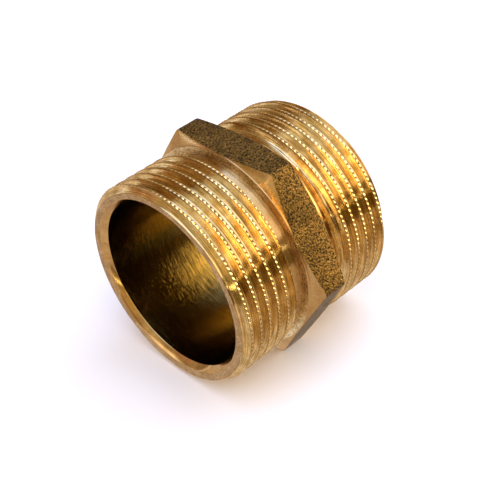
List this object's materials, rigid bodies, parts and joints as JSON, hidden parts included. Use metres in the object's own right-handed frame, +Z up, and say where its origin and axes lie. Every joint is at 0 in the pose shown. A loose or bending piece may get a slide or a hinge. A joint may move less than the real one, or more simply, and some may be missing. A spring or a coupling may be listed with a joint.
{
  "type": "hex nipple",
  "caption": "Short brass pipe nipple with a male parallel thread on each end, a narrow hexagon between them and a plain bore right through.",
  "frame": {"origin": "on the bore axis, midway between the two end faces; the hexagon's middle plane lies 0.35 mm towards +X", "axes": "+X along the bore, from the front end to the rear end; +Z square to the top flat of the hexagon, so the part lies on the opposite flat with +Z up"},
  "size_m": [0.0386, 0.048, 0.042],
  "materials": {
    "turned_brass": "turned, with fine tool lines, satin",
    "thread_brass": "cut thread, bright flanks and knurled crests",
    "blasted_brass": "forged and blasted, fine grain"
  },
  "bodies": {
    "root": {"bored_body": "turned_brass", "hex_collar": "blasted_brass", "front_thread": "thread_brass", "rear_thread": "thread_brass"}
  },
  "joints": []
}
